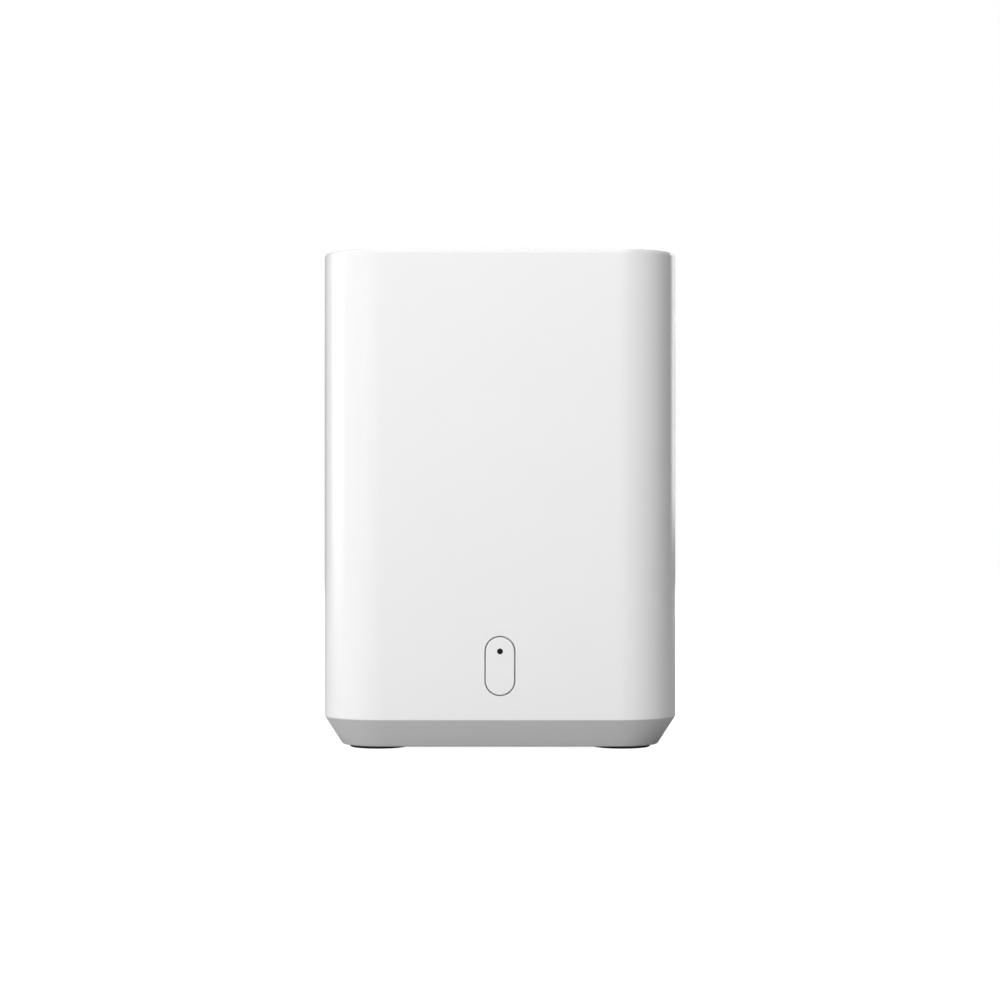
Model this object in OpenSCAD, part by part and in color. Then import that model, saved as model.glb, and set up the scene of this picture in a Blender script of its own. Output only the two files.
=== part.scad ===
// Wireless router in a square tower case with rounded corners.
// Millimetres, +Z up. The front faces -Y and the ports face +Y. The origin is the middle of the footprint,
// on the surface that the feet stand on.

/* [Case] */
// Width and depth of the case
case_w = 100; // [100:0.5:104]
// Height of the case, feet included
case_h = 140.4; // [138:0.2:150]
// Radius of the case's vertical corners
corner_r = 17; // [16.5:0.5:18]
// Thickness of the outer sleeve's wall
wall = 2.4; // [2.2:0.1:2.6]
// Radius of the rounded rim at the top
rim_r = 1.5; // [0.8:0.1:1.6]
// Depth of the top cover below the rim
cover_recess = 0.8; // [0.4:0.1:1.2]

/* [Base] */
// Height of the sloping base
base_h = 7.9; // [7.4:0.1:8.4]
// How far the base draws in on each side
base_inset = 5.1; // [4:0.1:5.4]
// Thickness of the base's floor
floor_t = 2.2; // [2:0.1:2.4]
// How far the feet stand out below the base
foot_h = 0.8; // [0.6:0.1:1.4]
// Radius of a foot
foot_r = 8.2; // [7:0.1:8.4]
// Distance of each foot's centre from the case's centre planes
foot_at = 34.5; // [33:0.5:34.5]

/* [Front button] */
// Width of the button's hole in the sleeve
button_w = 8.6; // [8.4:0.05:9.4]
// Height of the button's hole in the sleeve
button_h = 16.75; // [16.5:0.05:18]
// Gap all round between the button and its hole
button_gap = 0.3; // [0.26:0.02:0.36]
// Height of the button's centre
button_z = 23.8; // [23.4:0.1:28]

/* [Port bay] */
// Width of the recessed bay at the back
bay_w = 60; // [58:1:60]
// Height of the bay
bay_h = 42; // [41:1:43]
// Height of the bay's centre
bay_z = 38; // [38:0.5:44]
// Depth of the bay's floor behind the back face
bay_depth = 10.4; // [9:0.2:11]
// Distance between neighbouring network jacks
jack_pitch = 18; // [17:0.5:18]
// Radius of the power jack's hole
dc_hole_r = 3.2; // [3:0.1:3.3]
// Radius of the power jack's centre pin
dc_pin_r = 1; // [0.8:0.05:1.25]
// Swing of the power rocker between its two stops, in degrees
rocker_swing = 18; // [12:1:18]

/* [Vents] */
// Width of a vent slot
slot_w = 2.4; // [1.6:0.1:2.8]
// Distance between neighbouring slots in the top cover
slot_pitch = 5.2; // [4.6:0.1:5.4]

/* [Hidden] */
$fn = 64;
eps = 0.01; // how far a cutter runs past the face that it opens

// Case
half = case_w / 2;
inner_r = corner_r - wall; // corner radius of the sleeve's inside
inner_half = half - wall;
crease_z = foot_h + base_h; // where the sleeve meets the base
ledge_w = 3; // inward ledge that carries the top cover
ledge_t = 1.6;
cover_t = 2;
cover_gap = 0.25;
cover_top = case_h - cover_recess;
cover_skirt = 1.8; // height of the cover's skirt, which stands on the ledge
ledge_top = cover_top - cover_t - cover_skirt;
arm_w = 10; // the cover's four snap arms
arm_t = 1.5;

// Base
tongue_h = 3.8; // lip that locates the sleeve
tongue_t = 1.4;
tongue_gap = 0.15;
foot_sink = 0.6; // depth of a foot's seat in the floor
floor_top = foot_h + floor_t;
screw_boss_r = 4.5;
frame_z = floor_top + 2.9; // underside of the inner frame, on the base's bosses
label_t = 0.15;

// Inner frame
frame_t = 2;
frame_r = 11;
ring_half = 42.4;
ring_open = 62;
ring_z = ledge_top - ledge_t - 3.4; // underside of the top ring
rail_x = [37, 44.5]; // inner and outer face of each side rail
rail_y = 12.4; // depth of a rail in front of the main board
column_x = [28, 40];
column_y = [-40, -37];
post_x = [31.9, 36.2]; // rear posts that hold the port bay
post_y = 4.2;
post_h = 50;

// Port bay: y places, from the back of the case inwards
bay_r = 5;
bay_wall = 1.6;
flange_t = 1.4;
flange_out = inner_half - 0.2; // outer face of the bay's flange
flange_w = 70;
flange_h = 48;
bay_face = half - bay_depth; // outer face of the bay's floor
floor_back = bay_face - bay_wall;
peg_x = (post_x[0] + post_x[1]) / 2;
peg_r = 1;
peg_h = 3;
pegs_z = [-14, 14];

// Main board
jack_len = 17.6; // height of the jacks above the board
board_t = 1.6;
board_rear = bay_face - jack_len;
board_front = board_rear - board_t;
board_w = 84;
board_z = [12, ring_z - 1];
board_screw_x = 39.6;
board_screw_z = [18, 124];

// Parts on the board
jack_row_z = bay_z - 9.5;
upper_row_z = bay_z + 9.5;
jack_x = [-jack_pitch, 0, jack_pitch];
dc_x = 20;
dc_root_r = 1.5;
dc_pin_from = 9.4; // depth at which the pin's full thickness starts
reset_x = 4;
rocker_x = -16;
sink_x = 34; // half width of the heat sink
sink_z = [60, 118];
sink_base_t = 3;
sink_lift = 2.8; // gap between board and heat sink
fin_t = 1.4;
fin_h = 22.6;
fin_count = 11;
spreader_lift = 4.5;
spreader_t = 2;
sink_screw_x = 30;
sink_screw_z = [64, 114];
processor_z = 78;
processor_t = 1.8;
can_size = [26, 20, 2.3];
can_x = 21;
can_z = 100.4;
sheet_t = 0.3; // pressed sheet metal
rear_can_size = [34, 30, 2.5];
antenna_z = [76, 122];
front_antenna_z = [84, 126];
antenna_t = 0.8;
connector_z = 124;
connector_x = [-26, -14, 14, 26];

// Network jack, from the middle of its face
jack_w = 15.8;
jack_h = 13.2;
plug_w = 11.8;
plug_z = [-2.2, 4.6]; // main cavity, below and above the middle
plug_depth = 13.5;
contact_pitch = 1.02;

// Front button: y places, from the front face inwards
button_face = -half;
flange_y = [-inner_half + 0.3, -inner_half + 1.3];
boss_end = -inner_half + 3.6;
bracket_plate = [boss_end - 0.2, boss_end + 1.2];
small_board_front = boss_end + 5.1;
small_board_t = 1.2;
small_board_rear = small_board_front + small_board_t;
boss_x = 10.5;
lens_z = button_z + (button_h - button_w) / 2;
lens_r = 0.82;
switch_z = button_z - 4.8;
switch_h = 3.5;
plunger_tip = small_board_front - switch_h - 1.2;

// Power rocker, about its pivot
pivot_y = bay_face - 2.2;
rocker_rest = rocker_swing / 2;
pivot_r = 1;
bezel = [15, 10.4, 1.2];
rocker_body = [13, 8.4];
rocker_room = [11.4, 6.6];

// Screws: shank radius, head radius, head height
screw_big = [1.25, 2.75, 1.8];
screw_mid = [1.15, 2.2, 1.5];
screw_small = [0.9, 1.7, 1.3];
screw_play = 0.05; // room round a shank in its pilot hole
through_play = 0.25; // room round a shank in a clearance hole

// ---- Shapes that repeat ----

// Sweeps a profile round a square with rounded corners. The profile's X runs out from the corner's centre.
module sweep_square(half_side, r) {
    run = 2 * (half_side - r);
    for (quarter = [0:3]) rotate([0, 0, 90 * quarter]) {
        translate([half_side - r, half_side - r, 0]) rotate_extrude(angle = 90) children();
        translate([0, half_side - r, 0]) rotate([90, 0, 90]) linear_extrude(run, center = true) children();
    }
}

module rounded_rect(w, h, r) {
    square([w - 2 * r, h], center = true);
    square([w, h - 2 * r], center = true);
    for (x = [-1, 1], y = [-1, 1]) translate([x * (w / 2 - r), y * (h / 2 - r)]) circle(r = r);
}

// Upright oval with round ends
module stadium(w, h) {
    square([w, h - w], center = true);
    for (y = [-1, 1]) translate([0, y * (h - w) / 2]) circle(d = w);
}

// Extrudes a front view, drawn in X and Z, from y0 to y1.
module across(y0, y1) {
    translate([0, y1, 0]) rotate([90, 0, 0]) linear_extrude(y1 - y0) children();
}

// Extrudes a side view, drawn in Y and Z, from x0 to x1.
module sideways(x0, x1) {
    translate([x0, 0, 0]) rotate([90, 0, 90]) linear_extrude(x1 - x0) children();
}

// Box between two opposite corners
module block(low, high) {
    translate(low) cube(high - low);
}

// Rod along Y
module rod(x, z, y0, y1, r) {
    translate([x, y1, z]) rotate([90, 0, 0]) cylinder(r = r, h = y1 - y0);
}

// Box that stands on the board: rises towards +Y with side 1, towards -Y with side -1.
module on_board(face_y, side, x, z, size) {
    y = side > 0 ? face_y : face_y - size[2];
    translate([x - size[0] / 2, y, z - size[1] / 2]) cube([size[0], size[2], size[1]]);
}

// Pan-head screw along +Z, with its head's underside at the origin and its shank above.
module screw(kind, length) {
    cut = kind[0] * 0.9; // half length of the cross recess
    cylinder(r = kind[0], h = length);
    difference() {
        translate([0, 0, -kind[2]]) cylinder(r = kind[1], h = kind[2]);
        for (turn = [0, 90]) rotate([0, 0, turn]) {
            translate([-cut, -0.3, -kind[2] - eps]) cube([2 * cut, 0.6, kind[2] * 0.55]);
        }
    }
}

module four_corners(at) {
    for (x = [-1, 1], y = [-1, 1]) translate([x * at, y * at, 0]) children();
}

// Right and left copy
module both_sides() {
    for (side = [0, 1]) mirror([side, 0, 0]) children();
}

// ---- Case ----

module sleeve_profile() {
    translate([inner_r, crease_z]) square([wall, case_h - rim_r - crease_z]);
    translate([inner_r, case_h - rim_r]) square([wall - rim_r, rim_r]);
    translate([corner_r - rim_r, case_h - rim_r]) intersection() {
        circle(r = rim_r);
        square(rim_r);
    }
    translate([inner_r - ledge_w, ledge_top - ledge_t]) square([ledge_w, ledge_t]);
}

module outer_sleeve() color("white") difference() {
    union() {
        sweep_square(half, corner_r) sleeve_profile();
        both_sides() rod(boss_x, button_z, -inner_half, boss_end, 2.6);
    }
    translate([0, 0, button_z]) across(-half - 1, -inner_half + 1) stadium(button_w, button_h);
    translate([0, 0, bay_z]) across(inner_half - 1, half + 1) rounded_rect(bay_w, bay_h, bay_r);
    both_sides() rod(boss_x, button_z, boss_end - 3.2, boss_end + 1, screw_small[0] + screw_play);
}

// Half length of the vent slot whose centre line is y from the middle: the slots fill a rounded square.
function slot_reach(y, field, r) =
    abs(y) <= field - r ? field : field - r + sqrt(r * r - pow(abs(y) - (field - r), 2));

module cover_slots() {
    field = 6 * slot_pitch + slot_w / 2;
    for (i = [-6:6]) translate([0, i * slot_pitch]) {
        rotate([0, 0, 90]) stadium(slot_w, 2 * slot_reach(i * slot_pitch, field, corner_r));
    }
}

// Snap arm that passes the ledge and hooks under the inner frame's top ring
module snap_arm() {
    hook = 1.3;
    inner_y = ring_half + 0.2;
    sideways(-arm_w / 2, arm_w / 2) polygon([
        [inner_y, cover_top - cover_t], [inner_y + arm_t, cover_top - cover_t],
        [inner_y + arm_t, ring_z - 2], [inner_y, ring_z - 2],
        [inner_y - hook, ring_z - 0.8], [inner_y - hook, ring_z - 0.2], [inner_y, ring_z - 0.2],
    ]);
}

module cover_profile() {
    edge_r = inner_r - cover_gap;
    polygon([
        [0, cover_top - cover_t], [edge_r - 1.6, cover_top - cover_t], [edge_r - 1.6, ledge_top],
        [edge_r, ledge_top], [edge_r, cover_top - 0.4], [edge_r - 0.4, cover_top], [0, cover_top],
    ]);
}

module top_cover() color("white") {
    core = half - corner_r;
    difference() {
        union() {
            sweep_square(inner_half - cover_gap, inner_r - cover_gap) cover_profile();
            block([-core, -core, cover_top - cover_t], [core, core, cover_top]);
        }
        translate([0, 0, cover_top - cover_t - 1]) linear_extrude(cover_t + 2) cover_slots();
    }
    for (quarter = [0:3]) rotate([0, 0, 90 * quarter]) snap_arm();
}

module base_profile() {
    foot_x = corner_r - base_inset;
    edge = 0.7; // small bevel where the slope meets the underside
    tongue_x = inner_r - tongue_gap;
    slope = base_inset / base_h;
    polygon([
        [0, foot_h], [foot_x - edge, foot_h], [foot_x + edge * slope, foot_h + edge], [corner_r, crease_z],
        [tongue_x, crease_z], [tongue_x, crease_z + tongue_h], [tongue_x - tongue_t, crease_z + tongue_h],
        [tongue_x - tongue_t, crease_z - 1], [foot_x - wall + floor_t * slope, floor_top], [0, floor_top],
    ]);
}

module base_tray() color("darkgray") difference() {
    union() {
        sweep_square(half, corner_r) base_profile();
        core = half - corner_r;
        block([-core, -core, foot_h], [core, core, floor_top]);
        four_corners(foot_at) translate([0, 0, foot_h]) cylinder(r = screw_boss_r, h = frame_z - foot_h);
    }
    four_corners(foot_at) {
        translate([0, 0, foot_h - eps]) cylinder(r = foot_r + 0.1, h = foot_sink + eps);
        translate([0, 0, foot_h]) cylinder(r = screw_big[1] + through_play, h = foot_sink + 2.4);
        cylinder(r = screw_big[0] + through_play, h = frame_z + 1);
    }
    for (bank = [-1, 1], i = [-4:4]) translate([i * 5, bank * 29, 0]) {
        linear_extrude(floor_top + 1) stadium(slot_w, 22);
    }
}

module foot() color("dimgray") rotate_extrude() {
    soft = 0.5; // rounded edge at the ground
    square([foot_r - soft, foot_h + foot_sink]);
    translate([0, soft]) square([foot_r, foot_h + foot_sink - soft]);
    translate([foot_r - soft, soft]) circle(r = soft);
}

module rating_label() color("silver") {
    translate([0, 0, foot_h - label_t]) linear_extrude(label_t) rounded_rect(46, 28, 2);
}

// Recessed bay with a floor that the jacks come through
module port_bay() color("gainsboro") translate([0, 0, bay_z]) difference() {
    union() {
        across(flange_out - flange_t, flange_out) rounded_rect(flange_w, flange_h, bay_r + 1);
        across(floor_back, flange_out) {
            rounded_rect(bay_w + 2 * bay_wall, bay_h + 2 * bay_wall, bay_r + bay_wall);
        }
        for (side = [-1, 1], z = pegs_z) {
            rod(side * peg_x, z, flange_out - flange_t - peg_h, flange_out - 1, peg_r);
        }
    }
    across(bay_face, half) rounded_rect(bay_w, bay_h, bay_r);
    across(floor_back - 1, bay_face + 1) port_bay_cutouts();
}

module port_bay_cutouts() {
    fit = 0.4;
    for (x = jack_x) translate([x, jack_row_z - bay_z]) {
        square([jack_w + fit, jack_h + fit], center = true);
    }
    translate([dc_x, upper_row_z - bay_z]) circle(r = 4.5);
    translate([reset_x, upper_row_z - bay_z]) circle(r = 1.4);
    translate([rocker_x, upper_row_z - bay_z]) square(rocker_body + [0.2, 0.2], center = true);
}

// ---- Inner frame ----

module frame_ring(z) {
    translate([0, 0, z]) linear_extrude(frame_t) difference() {
        rounded_rect(2 * ring_half, 2 * ring_half, frame_r);
        rounded_rect(ring_open, ring_open, 6);
    }
}

// Post that the port bay's pegs enter: its foot is set in to clear the base's lip.
module bay_post() {
    back = flange_out - flange_t;
    step_z = crease_z + tongue_h + 0.4;
    block([post_x[0], back - post_y, frame_z], [post_x[1], back - 1.6, step_z]);
    block([post_x[0], back - post_y, step_z], [post_x[1], back, frame_z + post_h]);
}

module inner_frame() color("dimgray") difference() {
    union() {
        frame_ring(frame_z);
        frame_ring(ring_z);
        both_sides() {
            block([rail_x[0], board_front - rail_y, frame_z], [rail_x[1], board_front, ring_z + frame_t]);
            block([column_x[0], column_y[0], frame_z], [column_x[1], column_y[1], ring_z + frame_t]);
            bay_post();
        }
        four_corners(foot_at) translate([0, 0, frame_z]) cylinder(r = 3.4, h = 9);
    }
    four_corners(foot_at) {
        translate([0, 0, frame_z - 1]) cylinder(r = screw_big[0] + screw_play, h = 11);
    }
    for (side = [-1, 1], z = board_screw_z) {
        rod(side * board_screw_x, z, board_front - 8, board_front + 1, screw_mid[0] + screw_play);
    }
    for (side = [-1, 1], z = pegs_z) {
        rod(side * peg_x, bay_z + z, flange_out - flange_t - peg_h - 0.2, flange_out, peg_r + screw_play);
    }
}

// ---- Front button ----

module front_button() color("white") translate([0, 0, button_z]) difference() {
    union() {
        across(button_face, flange_y[1]) stadium(button_w - 2 * button_gap, button_h - 2 * button_gap);
        across(flange_y[0], flange_y[1]) stadium(button_w + 0.7, button_h + 0.7);
        rod(0, switch_z - button_z, flange_y[0], plunger_tip - 0.05, 1.6);
    }
    rod(0, lens_z - button_z, button_face - 1, flange_y[1] + 1, lens_r);
}

// Clear pipe whose outer end is the small dark window in the button
module light_pipe() color("black") {
    rod(0, lens_z, button_face + 0.15, flange_y[1], lens_r);
    rod(0, lens_z, flange_y[1], flange_y[1] + 0.9, 1.6);
    rod(0, lens_z, flange_y[1], small_board_front - 2.6, 1.2);
}

module button_bracket() color("dimgray") difference() {
    translate([0, 0, button_z]) union() {
        across(bracket_plate[0], bracket_plate[1]) rounded_rect(27, 23, 3);
        across(-inner_half + 0.4, bracket_plate[1]) stadium(button_w + 4, button_h + 4);
        both_sides() rod(boss_x, 0, bracket_plate[0], small_board_front, 2.6);
    }
    translate([0, 0, button_z]) across(-inner_half, bracket_plate[0]) {
        stadium(button_w + 1.6, button_h + 1.6);
    }
    both_sides() {
        rod(boss_x, button_z, bracket_plate[0] - 1, boss_end, 2.9);
        rod(boss_x, button_z, bracket_plate[0] - 1, small_board_front + 1, screw_small[0] + through_play);
    }
    rod(0, switch_z, bracket_plate[0] - 1, bracket_plate[1] + 1, 2.2);
    rod(0, lens_z, bracket_plate[0] - 1, bracket_plate[1] + 1, 1.8);
}

module button_board() color("darkgreen") difference() {
    translate([0, 0, button_z]) across(small_board_front, small_board_rear) rounded_rect(27, 23, 2);
    both_sides() {
        rod(boss_x, button_z, small_board_front - 1, small_board_rear + 1, screw_small[0] + through_play);
    }
}

// Square push switch on a board: side 1 faces +Y, side -1 faces -Y.
module push_switch(x, z, face_y, side, plunger_r, depth) {
    y = face_y + side * switch_h;
    difference() {
        on_board(face_y, side, x, z, [6, 6, switch_h]);
        rod(x, z, min(y, y - side * depth), max(y, y - side * depth) + (side > 0 ? 1 : 0), plunger_r);
        if (side < 0) rod(x, z, y - 1, y + eps, plunger_r);
    }
}

module button_switch() color("black") {
    push_switch(0, switch_z, small_board_front, -1, 1.8, 2.6);
}

module button_switch_plunger() color("tan") rod(0, switch_z, plunger_tip, plunger_tip + 3.2, 1.7);

module status_led() color("ivory") on_board(small_board_front, -1, 0, lens_z, [2, 1.6, 0.9]);

// ---- Ribbon cable between the two boards ----

ribbon_floor = frame_z + frame_t + 2; // height of the ribbon's level run
ribbon_bend = 3;
ribbon_start = [small_board_rear + 0.9, button_z - 9.5];
ribbon_end = [board_front - 0.9, board_z[0] + 3];
ribbon_t = 0.3;

function arc(centre, r, from, to, steps) =
    [for (i = [0:steps]) let (a = from + (to - from) * i / steps) centre + r * [cos(a), sin(a)]];

// One side of the ribbon: down, a bend, level, a bend, and up
function ribbon_side(offset) = concat(
    [ribbon_start + [-offset, 0]],
    arc([ribbon_start[0] + ribbon_bend, ribbon_floor + ribbon_bend], ribbon_bend + offset, 180, 270, 10),
    arc([ribbon_end[0] - ribbon_bend, ribbon_floor + ribbon_bend], ribbon_bend + offset, 270, 360, 10),
    [ribbon_end + [offset, 0]]
);

function reversed(list) = [for (i = [len(list) - 1:-1:0]) list[i]];

module ribbon_cable() color("white") {
    sideways(-3, 3) polygon(concat(ribbon_side(ribbon_t / 2), reversed(ribbon_side(-ribbon_t / 2))));
}

module ribbon_connectors() color("ivory") {
    difference() {
        on_board(small_board_rear, 1, 0, button_z - 7.5, [9, 4, 1.8]);
        translate([-3.1, ribbon_start[0] - 0.2, button_z - 9.6]) cube([6.2, 0.4, 1]);
    }
    difference() {
        on_board(board_front, -1, 0, board_z[0] + 4.6, [9, 4, 1.8]);
        translate([-3.1, ribbon_end[0] - 0.2, board_z[0] + 2.5]) cube([6.2, 0.4, 1]);
    }
}

// ---- Main board ----

module main_board() color("darkgreen") difference() {
    block([-board_w / 2, board_front, board_z[0]], [board_w / 2, board_rear, board_z[1]]);
    for (side = [-1, 1]) {
        for (z = board_screw_z) {
            rod(side * board_screw_x, z, board_front - 1, board_rear + 1, screw_mid[0] + through_play);
        }
        for (z = sink_screw_z) {
            rod(side * sink_screw_x, z, board_front - 1, board_rear + 1, screw_big[0] + through_play);
        }
    }
}

module processor() color("black") on_board(board_front, -1, 0, processor_z, [21, 21, processor_t]);

module memory_chips() color("black") {
    for (x = [-18, 18]) on_board(board_front, -1, x, processor_z - 6, [9, 13, 1.1]);
}

module flash_chip() color("black") on_board(board_front, -1, 0, 62, [8, 6, 1.2]);

module radio_chips() color("black") {
    for (x = [-can_x, can_x]) on_board(board_front, -1, x, can_z, [10, 10, 0.9]);
}

// Pressed can, open towards the board
module shield_can(face_y, side, x, z, size) {
    difference() {
        on_board(face_y, side, x, z, size);
        on_board(face_y - side * eps, side, x, z, size - [2 * sheet_t, 2 * sheet_t, sheet_t - eps]);
    }
}

module shield_can_left() color("silver") shield_can(board_front, -1, -can_x, can_z, can_size);
module shield_can_right() color("silver") shield_can(board_front, -1, can_x, can_z, can_size);
module rear_shield_can() color("silver") shield_can(board_rear, 1, 0, processor_z, rear_can_size);

module thermal_pads() color("skyblue") {
    on_board(board_front - processor_t, -1, 0, processor_z, [20, 20, sink_lift - processor_t]);
    for (x = [-can_x, can_x]) {
        on_board(board_front - can_size[2], -1, x, can_z, [18, 16, sink_lift - can_size[2]]);
    }
    on_board(board_rear + rear_can_size[2], 1, 0, processor_z, [28, 24, spreader_lift - rear_can_size[2]]);
}

module heat_sink() color("silver") {
    back = board_front - sink_lift;
    front = back - sink_base_t;
    difference() {
        union() {
            block([-sink_x, front, sink_z[0]], [sink_x, back, sink_z[1]]);
            for (x = [-1, 1], z = sink_screw_z) rod(x * sink_screw_x, z, front, board_front, 3);
            for (i = [0:fin_count - 1]) {
                x = -sink_x + i * (2 * sink_x - fin_t) / (fin_count - 1);
                block([x, front - fin_h, sink_z[0]], [x + fin_t, front, sink_z[1]]);
            }
        }
        for (x = [-1, 1], z = sink_screw_z) {
            rod(x * sink_screw_x, z, front - 1, board_front + 1, screw_big[0] + screw_play);
        }
    }
}

module heat_spreader() color("silver") difference() {
    face = board_rear + spreader_lift;
    union() {
        translate([0, 0, (sink_z[0] + sink_z[1]) / 2 + 1]) {
            across(face, face + spreader_t) rounded_rect(66, 58, 3);
        }
        for (x = [-1, 1], z = sink_screw_z) rod(x * sink_screw_x, z, board_rear, face, 3);
    }
    for (x = [-1, 1], z = sink_screw_z) {
        rod(x * sink_screw_x, z, board_rear - 1, face + spreader_t + 1, screw_big[0] + through_play);
    }
}

module ethernet_transformers() color("black") {
    for (x = jack_x) on_board(board_front, -1, x, 44, [13, 8, 5]);
}

module filter_capacitors() color("navy") {
    for (z = [26, 36.5, 47]) rod(33, z, board_front - 10, board_front, 4);
}

module power_inductors() color("dimgray") {
    for (x = [-22, -12, 22]) on_board(board_front, -1, x, 30, [7, 7, 4]);
}

// ---- Jacks and switches in the port bay ----

// Front view of the hole that a network plug goes into, with the two steps for its latch
module plug_hole() {
    translate([-plug_w / 2, plug_z[0]]) square([plug_w, plug_z[1] - plug_z[0]]);
    translate([-3.2, plug_z[0] - 1.3]) square([6.4, 1.4]);
    translate([-1.8, plug_z[0] - 2.6]) square([3.6, 1.4]);
}

module led_window_holes() {
    for (x = [-1, 1]) translate([x * 5.9, plug_z[0] - 2.1]) square([2.6, 2], center = true);
}

module place_jack(i) {
    translate([jack_x[i], bay_face, jack_row_z]) children();
}

module jack_body(i) place_jack(i) difference() {
    across(-jack_len, -sheet_t) square([jack_w - 2 * sheet_t, jack_h - 2 * sheet_t], center = true);
    across(-plug_depth, 1) plug_hole();
    across(-3, 1) led_window_holes();
}

module jack_shield(i) color("silver") place_jack(i) difference() {
    across(-jack_len, 0) square([jack_w, jack_h], center = true);
    across(-jack_len - 1, -sheet_t) square([jack_w - 2 * sheet_t, jack_h - 2 * sheet_t], center = true);
    across(-1, 1) {
        plug_hole();
        led_window_holes();
    }
}

// Eight sprung wires that slope down from the roof of the plug's cavity
module jack_contacts(i) color("gold") place_jack(i) {
    roof = plug_z[1];
    for (k = [0:7]) {
        x = (k - 3.5) * contact_pitch;
        sideways(x - 0.2, x + 0.2) polygon([
            [-2.5, roof], [-10.5, roof - 1.5], [-10.7, roof - 1.3], [-10.2, roof - 1], [-3.6, roof],
        ]);
    }
}

module jack_led_windows() color("palegreen") {
    for (i = [0:2]) place_jack(i) across(-3, -0.1) led_window_holes();
}

module dc_jack_body() color("black") translate([dc_x, 0, upper_row_z]) difference() {
    union() {
        across(board_rear, floor_back - 0.1) square([10.4, 10.4], center = true);
        rod(0, 0, floor_back - 1, bay_face, 4.3);
    }
    rod(0, 0, bay_face - 10, bay_face + 1, dc_hole_r);
    rod(0, 0, bay_face - 13, bay_face - 9, dc_root_r);
}

// Turned pin: a thick root in the body, a short neck, and the part that the plug goes over
module dc_jack_pin() color("silver") {
    rod(dc_x, upper_row_z, bay_face - 13, bay_face - 10, dc_root_r);
    rod(dc_x, upper_row_z, bay_face - 10, bay_face - dc_pin_from, dc_pin_r - 0.2);
    rod(dc_x, upper_row_z, bay_face - dc_pin_from, bay_face - 1, dc_pin_r);
}

module power_switch_housing() color("black") translate([rocker_x, 0, upper_row_z]) difference() {
    union() {
        across(bay_face, bay_face + bezel[2]) rounded_rect(bezel[0], bezel[1], 1);
        across(board_rear, bay_face) square(rocker_body, center = true);
    }
    across(bay_face - 8, bay_face + bezel[2] + 1) square(rocker_room, center = true);
    translate([0, pivot_y, 0]) cylinder(r = pivot_r + screw_play, h = rocker_body[1] + 1, center = true);
}

// Paddle with a shallow V face, drawn about its pivot and tilted to its first stop
module power_rocker() color("dimgray")
translate([rocker_x, pivot_y, upper_row_z]) rotate([0, 0, rocker_rest]) {
    tip = [4.8, 4.2];
    linear_extrude(6, center = true) {
        polygon([[-tip[0], 1], [-tip[0], tip[1]], [0, 3.4], tip, [tip[0], 1], [2.4, -1.6], [-2.4, -1.6]]);
    }
    cylinder(r = pivot_r, h = 8, center = true);
}

module reset_switch() color("black") push_switch(reset_x, upper_row_z, board_rear, 1, 1.1, 2.6);

module reset_plunger() color("ivory") rod(reset_x, upper_row_z, board_rear + 1.5, bay_face - 0.8, 1);

// ---- Antennas ----

module antenna(side) {
    outer = rail_x[1];
    mirror([side < 0 ? 1 : 0, 0, 0]) {
        block([outer, board_front - rail_y + 0.4, antenna_z[0]],
              [outer + antenna_t, board_front + 0.6, antenna_z[1]]);
    }
}

module front_antenna(side) {
    mirror([side < 0 ? 1 : 0, 0, 0]) {
        block([column_x[0] + 0.5, column_y[0] - antenna_t, front_antenna_z[0]],
              [column_x[1] - 0.5, column_y[0], front_antenna_z[1]]);
    }
}

module antenna_connectors() color("goldenrod") {
    for (x = connector_x) {
        on_board(board_front, -1, x, connector_z, [3, 3, 0.6]);
        rod(x, connector_z, board_front - 2.4, board_front - 0.6, 1.3);
    }
}

cable_r = 0.6;
plug_y = board_front - 2.4 - cable_r; // the cables lie on the outer faces of their plugs
feed_x = rail_x[1] + antenna_t + cable_r;
feed_y = column_y[0] - antenna_t - cable_r;
side_route = [
    [26, plug_y, 124], [27.5, plug_y - 0.6, 124.4], [30, 13.5, 125.2], [32, 9, 125.6],
    [34, 6.2, 125], [38, 5.4, 123], [42, 5.2, 120.5], [44.8, 5.8, 118.4],
    [feed_x, 7.6, 116.4], [feed_x, 10, 113.6], [feed_x, 12, 110.5],
];
front_route = [
    [14, plug_y, 124], [15, plug_y - 0.6, 124.6], [17, 13, 126], [19.5, 5, 127],
    [22, -6, 127.4], [24.2, -18, 127], [25.8, -29, 125.6], [26.2, -36, 123.4],
    [26.6, -40.4, 121.2], [28, feed_y - 0.25, 118.8], [30, feed_y, 116], [31.5, feed_y, 113.5],
];

// Point on a Catmull-Rom curve through the route, at k steps from point i towards the next
function on_curve(p, i, k) = let (
    a = p[max(i - 1, 0)], b = p[i], c = p[min(i + 1, len(p) - 1)], d = p[min(i + 2, len(p) - 1)]
) 0.5 * (2 * b + (c - a) * k + (2 * a - 5 * b + 4 * c - d) * k * k + (3 * b - a - 3 * c + d) * k * k * k);
function smooth(p, steps) = concat(
    [for (i = [0:len(p) - 2], k = [0:steps - 1]) on_curve(p, i, k / steps)], [p[len(p) - 1]]
);
function unit(v) = v / norm(v);
function heading(p, i) = unit(p[min(i + 1, len(p) - 1)] - p[max(i - 1, 0)]);

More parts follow.
